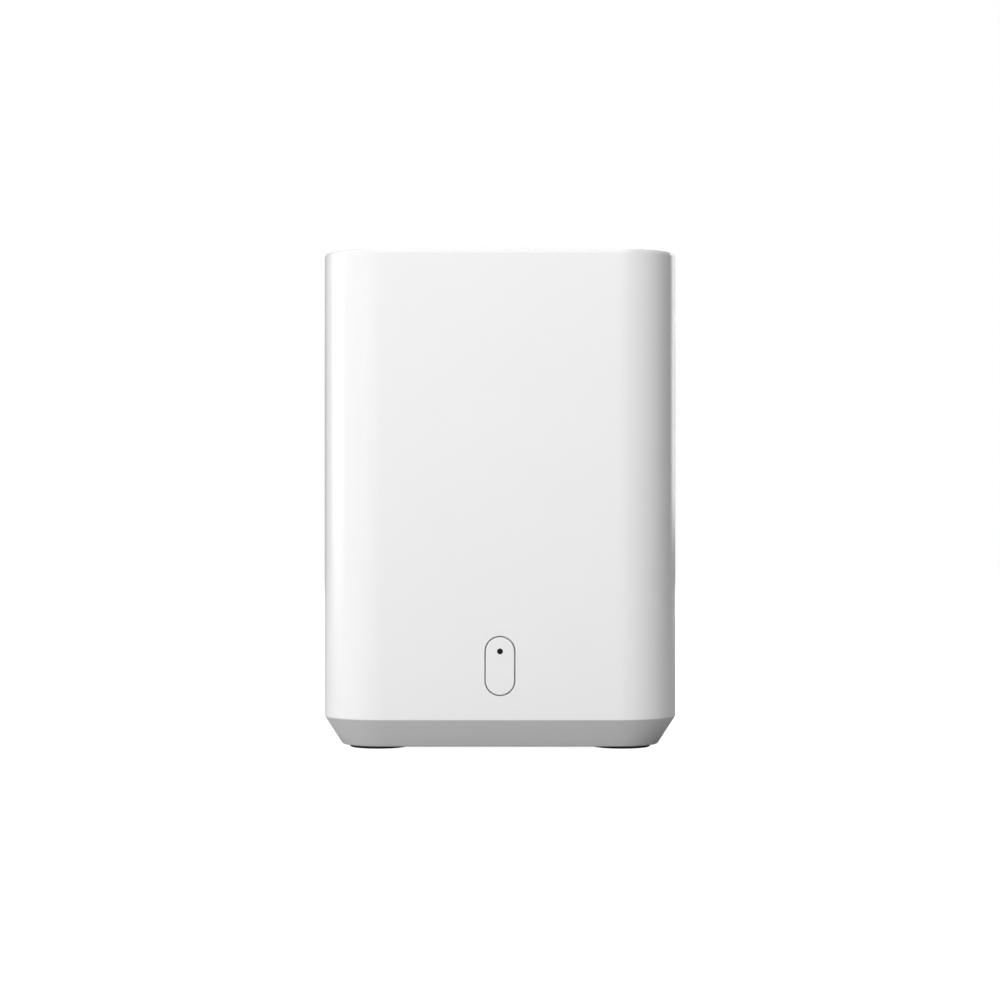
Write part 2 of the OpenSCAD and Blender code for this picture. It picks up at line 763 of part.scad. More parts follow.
// One closed tube of round section along a route
module tube(route, r, sides) {
    p = smooth(route, 2);
    last = len(p) - 1;
    rings = [for (i = [0:last]) let (
        along = heading(p, i), across = unit(cross(along, [0, 0, 1])), up = cross(across, along)
    ) for (k = [0:sides - 1]) p[i] + r * (cos(360 * k / sides) * across + sin(360 * k / sides) * up)];
    walls = [for (i = [0:last - 1], k = [0:sides - 1]) let (n = (k + 1) % sides)
        [i * sides + k, i * sides + n, (i + 1) * sides + n, (i + 1) * sides + k]];
    ends = [[for (k = [sides - 1:-1:0]) k], [for (k = [0:sides - 1]) last * sides + k]];
    triangles = [for (w = walls) each [[w[0], w[1], w[2]], [w[0], w[2], w[3]]]];
    polyhedron(points = rings, faces = concat(triangles, ends));
}

module antenna_cables() color("dimgray") {
    both_sides() tube(side_route, cable_r, 8);
    both_sides() tube(front_route, cable_r, 8);
}

// ---- Fasteners ----

module base_screws() color("silver") {
    four_corners(foot_at) translate([0, 0, foot_h + foot_sink + 2.4]) screw(screw_big, 12);
}

module board_screws() color("silver") {
    for (x = [-1, 1], z = board_screw_z) {
        translate([x * board_screw_x, board_rear, z]) rotate([90, 0, 0]) screw(screw_mid, 8);
    }
}

module heat_sink_screws() color("silver") {
    for (x = [-1, 1], z = sink_screw_z) {
        translate([x * sink_screw_x, board_rear + spreader_lift + spreader_t, z]) {
            rotate([90, 0, 0]) screw(screw_big, 13.5);
        }
    }
}

module button_screws() color("silver") {
    both_sides() translate([boss_x, small_board_rear, button_z]) rotate([90, 0, 0]) screw(screw_small, 9);
}

// ---- Nodes ----

outer_sleeve();
top_cover();
base_tray();
port_bay();
inner_frame();
rating_label();
translate([-foot_at, -foot_at, 0]) foot();  // foot_front_left
translate([foot_at, -foot_at, 0]) foot();  // foot_front_right
translate([-foot_at, foot_at, 0]) foot();  // foot_rear_left
translate([foot_at, foot_at, 0]) foot();  // foot_rear_right
front_button();
light_pipe();
button_bracket();
button_board();
button_switch();
button_switch_plunger();
status_led();
ribbon_cable();
ribbon_connectors();
main_board();
processor();
memory_chips();
flash_chip();
radio_chips();
shield_can_left();
shield_can_right();
rear_shield_can();
thermal_pads();
heat_sink();
heat_spreader();
ethernet_transformers();
filter_capacitors();
power_inductors();
color("royalblue") jack_body(0);  // wan_jack
jack_shield(0);  // wan_jack_shield
jack_contacts(0);  // wan_jack_contacts
color("gold") jack_body(1);  // lan_1_jack
jack_shield(1);  // lan_1_jack_shield
jack_contacts(1);  // lan_1_jack_contacts
color("gold") jack_body(2);  // lan_2_jack
jack_shield(2);  // lan_2_jack_shield
jack_contacts(2);  // lan_2_jack_contacts
jack_led_windows();
dc_jack_body();
dc_jack_pin();
power_switch_housing();
power_rocker();
reset_switch();
reset_plunger();
color("goldenrod") antenna(-1);  // antenna_left
color("goldenrod") antenna(1);  // antenna_right
color("goldenrod") front_antenna(-1);  // antenna_front_left
color("goldenrod") front_antenna(1);  // antenna_front_right
antenna_connectors();
antenna_cables();
base_screws();
board_screws();
heat_sink_screws();
button_screws();
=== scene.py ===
"""Looks of the wireless router: detailed shells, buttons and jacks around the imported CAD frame.

Sizes are in millimetres and angles in degrees, unless a comment says otherwise. Meshes are made in metres.
"""

import math

import bmesh
import bpy
from mathutils import Matrix, Vector


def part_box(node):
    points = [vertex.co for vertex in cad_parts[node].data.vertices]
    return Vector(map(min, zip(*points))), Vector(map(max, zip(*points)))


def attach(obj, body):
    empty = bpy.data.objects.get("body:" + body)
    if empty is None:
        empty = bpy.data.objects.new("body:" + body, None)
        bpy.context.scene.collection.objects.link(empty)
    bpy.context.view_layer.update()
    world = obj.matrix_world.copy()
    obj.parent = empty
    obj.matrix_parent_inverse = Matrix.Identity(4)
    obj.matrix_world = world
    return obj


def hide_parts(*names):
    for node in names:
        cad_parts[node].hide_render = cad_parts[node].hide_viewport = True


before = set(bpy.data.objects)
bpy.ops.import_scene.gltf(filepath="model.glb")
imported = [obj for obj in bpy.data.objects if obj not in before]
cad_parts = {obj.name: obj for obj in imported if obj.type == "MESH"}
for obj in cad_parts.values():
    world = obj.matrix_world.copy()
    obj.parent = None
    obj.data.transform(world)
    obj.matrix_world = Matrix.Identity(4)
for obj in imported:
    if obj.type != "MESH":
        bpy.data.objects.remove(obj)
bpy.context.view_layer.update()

MM = 0.001
MERGE = 1e-7  # metres: closer points are one point
SHARP = math.radians(35)  # edges that turn more than this stay sharp
OVERLAP = 0.5  # how far a part runs into the one that it joins
PAST = 1.0  # how far a cutter runs past the surface that it opens


# ---- Sizes, read from the frame where a node has them ----

def box_mm(node):
    """Lowest and highest corner of a CAD node."""
    low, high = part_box(node)
    return low / MM, high / MM


sleeve_low, sleeve_high = box_mm("outer_sleeve")
base_low, _ = box_mm("base_tray")
foot_low, foot_high = box_mm("foot_front_right")
button_low, button_high = box_mm("front_button")
bay_low, bay_high = box_mm("port_bay")
cover_low, cover_high = box_mm("top_cover")
pin_low, pin_high = box_mm("dc_jack_pin")

# Case: a square in plan, with rounded corners
HALF = sleeve_high.x
TOP = sleeve_high.z
CREASE = sleeve_low.z  # where the upright sleeve meets the sloping base
CORNER_R = 17.0
CORE = HALF - CORNER_R  # distance of a corner's centre from the case's centre planes
WALL = 2.4
INNER_R = CORNER_R - WALL
RIM_R = 1.5
LIP_R = 0.3  # inner edge of the rim
CREASE_R = 1.2
LEDGE_TOP = 135.8  # ledge in the sleeve that carries the top cover
LEDGE_T = 1.6
LEDGE_W = 3.0

# Base
BASE_INSET = 5.1
BASE_EDGE_R = 0.8
FOOT_H = base_low.z
SLOPE = math.atan2(BASE_INSET, CREASE - FOOT_H)  # radians that the base leans in from upright
FLOOR_TOP = FOOT_H + 2.2
FOOT_AT = (foot_low.x + foot_high.x) / 2
FOOT_R = (foot_high.x - foot_low.x) / 2
SLOT_W = 2.4

# Front button and its lens
BUTTON_Z = (button_low.z + button_high.z) / 2
BUTTON_W = 8.6
BUTTON_H = 16.75
BUTTON_GAP = 0.3
LENS_R = 0.82
LENS_Z = BUTTON_Z + (BUTTON_H - BUTTON_W) / 2

# Rear port bay, with the jacks in its lower row and the rest in its upper row
BAY_W, BAY_H, BAY_R, BAY_WALL = 60.0, 42.0, 5.0, 1.6
BAY_Z = (bay_low.z + bay_high.z) / 2
BAY_FACE = HALF - 10.4
JACK_X = (-18.0, 0.0, 18.0)
JACK_Z = BAY_Z - 9.5
UPPER_Z = BAY_Z + 9.5
DC_X, RESET_X, ROCKER_X = 20.0, 4.0, -16.0


# ---- Mesh making ----

def outline(half_x, half_y, r, steps):
    """A rounded rectangle's points, anticlockwise, with so many steps round each corner."""
    points = []
    for quarter, (sx, sy) in enumerate(((1, 1), (-1, 1), (-1, -1), (1, -1))):
        for i in range(steps + 1):
            a = math.radians(90 * (quarter + i / steps))
            points.append((sx * (half_x - r) + r * math.cos(a), sy * (half_y - r) + r * math.sin(a)))
    return points


def arc(centre, r, start, end, steps):
    """Points of an arc about a centre."""
    angles = [math.radians(start + (end - start) * i / steps) for i in range(steps + 1)]
    return [(centre[0] + r * math.cos(a), centre[1] + r * math.sin(a)) for a in angles]


def along(axis, u, v, level):
    """A point in metres, from its place across an axis and its level along it."""
    return Vector({"X": (level, u, v), "Y": (u, level, v), "Z": (u, v, level)}[axis]) * MM


def loft(rings, axis="Z", centre=(0.0, 0.0), steps=8, closed=False):
    """A skin over rounded rectangles (half_x, half_y, r, level) along an axis, as a new bmesh.

    The first and last rings are capped, or joined to each other if the skin is closed.
    """
    bm = bmesh.new()
    loops = []
    for half_x, half_y, r, level in rings:
        points = outline(half_x, half_y, r, steps)
        loops.append([bm.verts.new(along(axis, x + centre[0], y + centre[1], level)) for x, y in points])
    following = loops[1:] + loops[:1] if closed else loops[1:]
    for a, b in zip(loops, following):
        for i in range(len(a)):
            j = (i + 1) % len(a)
            bm.faces.new((a[i], a[j], b[j], b[i]))
    if not closed:
        bm.faces.new(loops[0])
        bm.faces.new(loops[-1])
    bmesh.ops.remove_doubles(bm, verts=bm.verts, dist=MERGE)
    bmesh.ops.recalc_face_normals(bm, faces=bm.faces)
    return bm


def prism(points, axis, low, high):
    """An outline extruded along an axis, as a new bmesh."""
    bm = bmesh.new()
    ends = [[bm.verts.new(along(axis, *point, level)) for point in points] for level in (low, high)]
    for i in range(len(points)):
        j = (i + 1) % len(points)
        bm.faces.new((ends[0][i], ends[0][j], ends[1][j], ends[1][i]))
    bm.faces.new(ends[0])
    bm.faces.new(ends[1])
    bmesh.ops.recalc_face_normals(bm, faces=bm.faces)
    return bm


def square_rings(profile):
    """Rings of the case from a profile of (distance out from the corner's centre, height)."""
    return [(CORE + out, CORE + out, out, z) for out, z in profile]


def inset_rings(w, h, profile):
    """Rings of an upright oval from a profile of (inset, level)."""
    return [(w / 2 - inset, h / 2 - inset, w / 2 - inset, level) for inset, level in profile]


def turned(profile, axis, centre, steps):
    """A round shape about an axis, from a profile of (radius, level)."""
    return loft([(r, r, r, level) for r, level in profile], axis, centre, steps)


def rod(x, z, low, high, r, steps=8):
    """A rod along Y."""
    return turned([(r, low), (r, high)], "Y", (x, z), steps)


def disc(x, y, r, low, high):
    """A short upright rod."""
    return turned([(r, low), (r, high)], "Z", (x, y), 12)


def piece(name, *parts):
    """One object from one or more bmeshes."""
    mesh = bpy.data.meshes.new(name)
    whole = bmesh.new()
    for part in parts:
        part.to_mesh(mesh)
        whole.from_mesh(mesh)
        part.free()
    whole.to_mesh(mesh)
    whole.free()
    made = bpy.data.objects.new(name, mesh)
    bpy.context.scene.collection.objects.link(made)
    return made


def combine(made, tools, operation="DIFFERENCE"):
    """Cuts tools out of a piece, or joins them to it."""
    tool = piece("tool", *tools)
    boolean = made.modifiers.new("combine", "BOOLEAN")
    boolean.operation = operation
    boolean.solver = "EXACT"
    boolean.object = tool
    graph = bpy.context.evaluated_depsgraph_get()
    graph.update()
    mesh = bpy.data.meshes.new_from_object(made.evaluated_get(graph))
    made.modifiers.clear()
    made.data = mesh
    bpy.data.objects.remove(tool)


def soften(made, width, chosen, segments=3):
    """Rounds the sharp edges whose two ends are both chosen."""
    bm = bmesh.new()
    bm.from_mesh(made.data)
    bmesh.ops.remove_doubles(bm, verts=bm.verts, dist=MERGE)
    bmesh.ops.dissolve_limit(bm, angle_limit=math.radians(0.5), verts=bm.verts, edges=bm.edges)
    edges = [
        e for e in bm.edges
        if len(e.link_faces) == 2 and e.calc_face_angle() > SHARP
        and all(chosen(v.co / MM) for v in e.verts)
    ]
    bmesh.ops.bevel(
        bm, geom=edges, offset=width * MM, segments=segments,
        profile=0.5, affect="EDGES", clamp_overlap=True,
    )
    bm.to_mesh(made.data)
    bm.free()


def on_plane(axis, level, inside=None):
    """Chooses points on a plane, within 0.01 mm, and inside a region if one is given."""
    return lambda p: abs(p[axis] - level) < 0.01 and (inside is None or inside(p))


def dress(made, material, body, replaces=()):
    """Gives a piece its material, smooth shading and its body."""
    made.data.materials.clear()
    made.data.materials.append(material)
    for face in made.data.polygons:
        face.use_smooth = True
    made.data.set_sharp_from_angle(angle=SHARP)
    normals = made.modifiers.new("normals", "WEIGHTED_NORMAL")
    normals.keep_sharp = True
    normals.weight = 100
    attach(made, body)
    if replaces:
        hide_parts(*replaces)


def refine(node, material, width=0.0, segments=2):
    """Gives a CAD node its material and, if a width is given, rounded edges."""
    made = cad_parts[node]
    made.data.materials.clear()
    made.data.materials.append(material)
    if width:
        weld = made.modifiers.new("weld", "WELD")
        weld.merge_threshold = 1e-6
        flat = made.modifiers.new("flat", "DECIMATE")
        flat.decimate_type = "DISSOLVE"
        flat.angle_limit = math.radians(1)
        bevel = made.modifiers.new("bevel", "BEVEL")
        bevel.width = width * MM
        bevel.segments = segments
        bevel.limit_method = "ANGLE"
        bevel.angle_limit = SHARP
        bevel.harden_normals = True


# ---- Materials ----

class Graph:
    """A material's node graph, with its shader and its place on the object."""

    def __init__(self, name):
        self.material = bpy.data.materials.new(name)
        self.material.use_nodes = True
        self.tree = self.material.node_tree
        self.shader = self.tree.nodes["Principled BSDF"]
        self.place = self.node("ShaderNodeTexCoord").outputs["Object"]

    def fill(self, socket, value):
        """Links an output to a socket, or sets the socket to a constant."""
        if isinstance(value, bpy.types.NodeSocket):
            self.tree.links.new(value, socket)
        else:
            socket.default_value = value

    def node(self, kind, inputs=None, **settings):
        """A new node, with its settings and its inputs."""
        made = self.tree.nodes.new(kind)
        for name, value in settings.items():
            setattr(made, name, value)
        for name, value in (inputs or {}).items():
            self.fill(made.inputs[name], value)
        return made

    def set(self, **values):
        """Sets the shader's sockets, named with _ for a space."""
        for name, value in values.items():
            self.fill(self.shader.inputs[name.replace("_", " ")], value)

    def noise(self, size, detail=2.0, stretch=None):
        """Noise whose features are about so many millimetres across."""
        place = self.place
        if stretch:
            place = self.node("ShaderNodeMapping", {"Vector": place, "Scale": stretch}).outputs["Vector"]
        inputs = {"Vector": place, "Scale": 1 / (size * MM), "Detail": detail}
        return self.node("ShaderNodeTexNoise", inputs).outputs["Fac"]

    def spread(self, value, low, high, start=0.3, end=0.7):
        """Maps a value from start to end onto low to high."""
        inputs = {"Value": value, "From Min": start, "From Max": end, "To Min": low, "To Max": high}
        return self.node("ShaderNodeMapRange", inputs).outputs["Result"]

    def blend(self, factor, low, high):
        """Blends two colours."""
        made = self.node("ShaderNodeMix", {"Factor": factor}, data_type="RGBA")
        for socket, colour in ((made.inputs[6], low), (made.inputs[7], high)):
            self.fill(socket, colour if isinstance(colour, bpy.types.NodeSocket) else (*colour, 1))
        return made.outputs[2]

    def relief(self, height, depth):
        """Bump of so many millimetres."""
        made = self.node("ShaderNodeBump", {"Height": height, "Distance": depth * MM, "Strength": 1.0})
        self.set(Normal=made.outputs["Normal"])


def grey(value):
    return (value, value, value)


def scaled(colour, factor):
    return [min(1, c * factor) for c in colour]


def moulded(name, colour, roughness, grain=0.2, depth=0.0015, vary=0.004):
    """Moulded plastic with a fine spark-eroded grain and a faint flow of tone."""
    g = Graph(name)
    flow = g.spread(g.noise(22.0, 3.0), 0, 1)
    g.set(
        Base_Color=g.blend(flow, scaled(colour, 1 - vary), scaled(colour, 1 + vary)),
        Roughness=g.spread(g.noise(9.0), roughness - 0.008, roughness + 0.008),
        IOR=1.5,
    )
    g.relief(g.noise(grain), depth)
    return g.material


def glossy_plastic(name, colour, roughness, coat=0.4):
    """Polished plastic with faint handling haze."""
    g = Graph(name)
    g.set(
        Base_Color=(*colour, 1),
        Roughness=g.spread(g.noise(1.5, 4.0), roughness * 0.7, roughness * 1.5),
        IOR=1.52,
        Coat_Weight=coat,
        Coat_Roughness=0.08,
    )
    return g.material


def rubber(name, colour, grain=0.25):
    """Matt rubber with a dusty, pebbled skin."""
    g = Graph(name)
    g.set(
        Base_Color=g.blend(g.spread(g.noise(4.0, 4.0), 0, 1), colour, scaled(colour, 1.5)),
        Roughness=g.spread(g.noise(1.0, 3.0), 0.72, 0.9),
    )
    g.relief(g.noise(grain), 0.03)
    return g.material


def sheet_metal(name, colour, roughness, stretch=(1, 1, 14), contrast=0.04):
    """Rolled or brushed metal, with fine lines along one direction."""
    g = Graph(name)
    lines = g.noise(0.9, 4.0, stretch)
    g.set(
        Base_Color=g.blend(g.spread(lines, 0, 1), scaled(colour, 1 - contrast), colour),
        Metallic=1.0,
        Roughness=g.spread(lines, roughness - contrast, roughness + contrast),
    )
    g.relief(lines, 0.001)
    return g.material


def circuit_board(name):
    """Green solder mask with raised tracks and small bright pads."""
    g = Graph(name)
    tracks = g.node("ShaderNodeTexVoronoi", {"Vector": g.place, "Scale": 260.0}, feature="DISTANCE_TO_EDGE")
    track = g.spread(tracks.outputs["Distance"], 1, 0, 0.05, 0.09)
    pads = g.node("ShaderNodeTexVoronoi", {"Vector": g.place, "Scale": 420.0})
    pad = g.spread(pads.outputs["Distance"], 1, 0, 0.13, 0.17)
    mask = g.blend(track, (0.012, 0.075, 0.03), (0.03, 0.15, 0.055))
    g.set(
        Base_Color=g.blend(pad, mask, (0.72, 0.62, 0.36)),
        Roughness=g.spread(g.noise(2.0, 3.0), 0.28, 0.42),
        Metallic=pad,
        Coat_Weight=0.3,
        Coat_Roughness=0.2,
    )
    g.relief(track, 0.03)
    return g.material


def chip_resin(name):
    """Black moulding resin with a fine matt top."""
    g = Graph(name)
    g.set(
        Base_Color=g.blend(g.spread(g.noise(3.0, 4.0), 0, 1), grey(0.018), grey(0.034)),
        Roughness=g.spread(g.noise(0.8, 3.0), 0.42, 0.6),
    )
    g.relief(g.noise(0.12, 3.0), 0.01)
    return g.material


def film(name, colour):
    """Printed film or flat cable, with faint lines along Y."""
    g = Graph(name)
    inputs = {"Vector": g.place, "Scale": 300.0, "Distortion": 0.0}
    lines = g.node("ShaderNodeTexWave", inputs, bands_direction="X")
    g.set(
        Base_Color=g.blend(lines.outputs["Fac"], scaled(colour, 0.93), colour),
        Roughness=g.spread(g.noise(5.0, 3.0), 0.3, 0.42),
    )
    return g.material


white_case = moulded("white_case", grey(0.84), 0.22)
white_button = moulded("white_button", grey(0.84), 0.24)
white_bay = moulded("white_bay", grey(0.78), 0.4, grain=0.35, depth=0.004)
# The base is the same white plastic as the case. Its darker grey is painted shade for its downward-facing
# slope.
shade_painted_base = moulded("shade_painted_base", grey(0.55), 0.38, grain=0.3, depth=0.003)
foot_rubber = rubber("foot_rubber", grey(0.022))
smoked = glossy_plastic("smoked_window", grey(0.003), 0.3, coat=0.0)
label_film = film("label_film", grey(0.6))
frame_resin = moulded("frame_resin", (0.075, 0.078, 0.082), 0.5, grain=0.35, depth=0.008, vary=0.05)
black_plastic = moulded("black_plastic", grey(0.02), 0.42, grain=0.3, depth=0.006, vary=0.05)
gloss_black = moulded("gloss_black", grey(0.022), 0.26, grain=0.3, depth=0.003, vary=0.05)
ivory_plastic = moulded("ivory_plastic", (0.7, 0.66, 0.54), 0.4, vary=0.04)
board = circuit_board("circuit_board")
resin = chip_resin("chip_resin")
tin = sheet_metal("tinned_steel", (0.72, 0.72, 0.7), 0.3)
aluminium = sheet_metal("extruded_aluminium", (0.78, 0.79, 0.8), 0.36)
zinc = sheet_metal("zinc_steel", (0.66, 0.66, 0.68), 0.32, (1, 1, 1))
nickel = sheet_metal("nickel", (0.78, 0.77, 0.74), 0.14, (1, 8, 1))
gold = sheet_metal("gold_plate", (0.86, 0.64, 0.26), 0.22, (1, 6, 1))
brass = sheet_metal("brass_sheet", (0.74, 0.56, 0.26), 0.3)
pad_rubber = rubber("thermal_pad", (0.16, 0.28, 0.38), 0.6)
cable_sheath = rubber("cable_sheath", grey(0.05), 0.3)
sleeve_film = glossy_plastic("capacitor_sleeve", (0.01, 0.018, 0.07), 0.3)
ferrite = moulded("ferrite", grey(0.06), 0.6, grain=0.35, depth=0.03, vary=0.2)
blue_plastic = moulded("blue_plastic", (0.02, 0.09, 0.42), 0.35, vary=0.05)
yellow_plastic = moulded("yellow_plastic", (0.82, 0.5, 0.035), 0.35, vary=0.04)
clear_green = glossy_plastic("clear_green", (0.42, 0.6, 0.36), 0.18)
ribbon_film = film("ribbon_film", (0.74, 0.77, 0.8))


# ---- Camera, lights and floor, in metres ----

VIEW_DISTANCE = 0.715  # from the camera to the front face
VIEW_WIDTH = 0.2788  # width of the picture at the front face
VIEW_HEIGHT = 0.0701
AMBIENT = 0.06
FLOOR_GLOW = 0.94
FLOOR_TONE = 0.5
FLOOR_REACH = 1.5


def make_camera():
    data = bpy.data.cameras.new("camera")
    data.sensor_width = 36.0
    data.lens = data.sensor_width * VIEW_DISTANCE / VIEW_WIDTH
    data.clip_start = 0.01
    camera = bpy.data.objects.new("camera", data)
    camera.location = (0, -HALF * MM - VIEW_DISTANCE, VIEW_HEIGHT)
    camera.rotation_euler = (math.pi / 2, 0, 0)
    bpy.context.scene.collection.objects.link(camera)
    bpy.context.scene.camera = camera


def softbox(name, azimuth, elevation, distance, size, power, mirrored=True):
    """A square light on the object's middle, in metres and watts.

    Azimuth goes from the front round to the left. A light that isn't mirrored leaves no highlight.
    """
    round_z, up = math.radians(azimuth), math.radians(elevation)
    toward = Vector((-math.sin(round_z) * math.cos(up), -math.cos(round_z) * math.cos(up), math.sin(up)))
    data = bpy.data.lights.new(name, "AREA")
    data.size = size
    data.energy = power
    light = bpy.data.objects.new(name, data)
    light.location = Vector((0, 0, TOP / 2 * MM)) + distance * toward
    light.rotation_euler = toward.to_track_quat("Z", "Y").to_euler()
    light.visible_glossy = mirrored
    bpy.context.scene.collection.objects.link(light)


def make_world():
    """White behind the object, and a dimmer even light on it."""
    world = bpy.data.worlds.new("studio")
    world.use_nodes = True
    bpy.context.scene.world = world
    tree = world.node_tree
    tree.nodes.clear()
    seen = tree.nodes.new("ShaderNodeLightPath")
    mix = tree.nodes.new("ShaderNodeMixShader")
    out = tree.nodes.new("ShaderNodeOutputWorld")
    tree.links.new(seen.outputs["Is Camera Ray"], mix.inputs["Fac"])
    for socket, strength in ((mix.inputs[1], AMBIENT), (mix.inputs[2], 1.0)):
        white = tree.nodes.new("ShaderNodeBackground")
        white.inputs["Color"].default_value = (1, 1, 1, 1)
        white.inputs["Strength"].default_value = strength
        tree.links.new(white.outputs["Background"], socket)
    tree.links.new(mix.outputs["Shader"], out.inputs["Surface"])


def make_floor():
    """Pale floor that the camera sees as white, but for a faint shadow where the feet stand."""
    bm = bmesh.new()
    bmesh.ops.create_grid(bm, x_segments=1, y_segments=1, size=FLOOR_REACH)
    floor = piece("floor", bm)
    g = Graph("pale_floor")
    seen = g.node("ShaderNodeLightPath").outputs["Is Camera Ray"]
    glow = g.node("ShaderNodeEmission", {"Color": (1, 1, 1, 1), "Strength": FLOOR_GLOW})
    dark = g.node("ShaderNodeEmission", {"Strength": 0.0})
    veil = g.node("ShaderNodeMixShader", {"Fac": seen})
    g.tree.links.new(dark.outputs["Emission"], veil.inputs[1])
    g.tree.links.new(glow.outputs["Emission"], veil.inputs[2])
    both = g.node("ShaderNodeAddShader")
    g.tree.links.new(g.shader.outputs["BSDF"], both.inputs[0])
    g.tree.links.new(veil.outputs["Shader"], both.inputs[1])
    g.tree.links.new(both.outputs["Shader"], g.tree.nodes["Material Output"].inputs["Surface"])
    g.set(Base_Color=(*grey(FLOOR_TONE), 1), Roughness=0.9, Specular_IOR_Level=0.0)
    g.material.cycles.emission_sampling = "NONE"
    floor.data.materials.append(g.material)


make_camera()
make_world()
make_floor()
softbox("key", 30, 8, 1.2, 0.6, 7.9, mirrored=False)
softbox("front_low", 0, 8, 1.2, 0.6, 2.65, mirrored=False)
softbox("front_high", 0, 30, 1.2, 0.6, 1.4)
softbox("near_top", 0, 60, 0.5, 0.3, 0.6)
softbox("left_side", 98, 14, 1.2, 0.7, 5.0)
softbox("right_rim", -144, 12, 1.2, 0.55, 2.2)
softbox("right_back", -153, 15, 1.2, 0.6, 3.2, mirrored=False)
softbox("back", 180, 20, 1.2, 0.6, 3.0)
softbox("top_back", 180, 70, 1.2, 0.6, 4.0)
bpy.context.scene.view_settings.view_transform = "Standard"


# ---- Case ----

CREASE_TURN = math.degrees(SLOPE)
crease_centre = (CORNER_R - CREASE_R, CREASE + CREASE_R * math.tan(SLOPE / 2))


def make_sleeve():
    """Upright shell with a rounded rim, a ledge inside, and holes for the button and the bay."""
    rings_at = (40, 75, 110)  # levels that divide the tall wall
    boss_x, boss_r, boss_l = 10.5, 2.6, 3.6  # screw bosses beside the button
    button_edge, bay_edge = 0.12, 0.5
    ledge_low, ledge_r = LEDGE_TOP - LEDGE_T, INNER_R - LEDGE_W

    profile = arc(crease_centre, CREASE_R, -CREASE_TURN / 2, 0, 4)
    profile += [(CORNER_R, z) for z in rings_at]
    profile += arc((CORNER_R - RIM_R, TOP - RIM_R), RIM_R, 0, 90, 10)
    profile += arc((INNER_R + LIP_R, TOP - LIP_R), LIP_R, 90, 180, 4)
    profile += [(INNER_R, LEDGE_TOP), (ledge_r, LEDGE_TOP), (ledge_r, ledge_low)]
    profile += [(INNER_R, ledge_low), (INNER_R, profile[0][1])]
    sleeve = piece("sleeve_shell", loft(square_rings(profile), steps=24, closed=True))

    inside = -HALF + WALL
    bosses = [rod(x, BUTTON_Z, inside - OVERLAP, inside + boss_l, boss_r) for x in (-boss_x, boss_x)]
    combine(sleeve, bosses, "UNION")
    through = [(0, -HALF - PAST), (0, inside + OVERLAP)]
    front_hole = loft(inset_rings(BUTTON_W, BUTTON_H, through), "Y", (0, BUTTON_Z), 24)
    through = (HALF - WALL - PAST, HALF + PAST)
    rear_hole = loft([(BAY_W / 2, BAY_H / 2, BAY_R, y) for y in through], "Y", (0, BAY_Z), 12)
    combine(sleeve, [front_hole, rear_hole])

    near_button = lambda p: abs(p.x) < BUTTON_W and abs(p.z - BUTTON_Z) < BUTTON_H
    soften(sleeve, button_edge, on_plane(1, -HALF, near_button))
    near_bay = lambda p: abs(p.x) < BAY_W / 2 + 1 and abs(p.z - BAY_Z) < BAY_H / 2 + 1
    soften(sleeve, bay_edge, on_plane(1, HALF, near_bay), 4)
    dress(sleeve, white_case, "case", ["outer_sleeve"])


def vent_slot(x, y, w, length, low, high, along_x):
    """Cutter for a slot with round ends, upright along Z."""
    half = (length / 2, w / 2) if along_x else (w / 2, length / 2)
    return loft([(*half, w / 2, low), (*half, w / 2, high)], "Z", (x, y), 8)


def make_base():
    """Sloping tray with a tongue up into the sleeve, seats for the feet, and vents below."""
    floor_r = 10.9  # inner floor's corner
    tongue, tongue_t, tongue_h = INNER_R - 0.15, 1.4, 3.8
    boss_r, boss_h = 4.5, 2.9
    seat_gap = 0.1
    head_r, head_h = 3.0, 2.4  # room for a screw's head
    hole_r = 1.5
    vent_pitch, vent_l, vent_y, vents_aside = 5, 22, 29, 4
    edge = 0.15

    edge_out = CORNER_R - BASE_INSET - BASE_EDGE_R * (1 - math.sin(SLOPE)) / math.cos(SLOPE)
    profile = [(floor_r, FLOOR_TOP), (tongue - tongue_t, CREASE - 1), (tongue - tongue_t, CREASE + tongue_h)]
    seam = arc(crease_centre, CREASE_R, -CREASE_TURN / 2, -CREASE_TURN, 4)
    profile += [(tongue, CREASE + tongue_h), (tongue, seam[0][1])] + seam
    profile += arc((edge_out, FOOT_H + BASE_EDGE_R), BASE_EDGE_R, -CREASE_TURN, -90, 6)
    base = piece("base_shell", loft(square_rings(profile), steps=24))

    corners = [(x, y) for x in (-FOOT_AT, FOOT_AT) for y in (-FOOT_AT, FOOT_AT)]
    below = FOOT_H - PAST
    boss_top = FLOOR_TOP + boss_h
    combine(base, [disc(x, y, boss_r, FLOOR_TOP - OVERLAP, boss_top) for x, y in corners], "UNION")
    combine(base, [disc(x, y, FOOT_R + seat_gap, below, foot_high.z) for x, y in corners])
    combine(base, [disc(x, y, head_r, below, foot_high.z + head_h) for x, y in corners])
    combine(base, [disc(x, y, hole_r, FOOT_H, FLOOR_TOP + 5) for x, y in corners])
    vents = [
        (i * vent_pitch, y) for i in range(-vents_aside, vents_aside + 1) for y in (-vent_y, vent_y)
    ]
    combine(base, [vent_slot(x, y, SLOT_W, vent_l, below, FLOOR_TOP + PAST, False) for x, y in vents])
    soften(base, edge, on_plane(2, FOOT_H), 2)
    # the base's grey tone is painted shade for its downward-facing slope
    dress(base, shade_painted_base, "case", ["base_tray"])


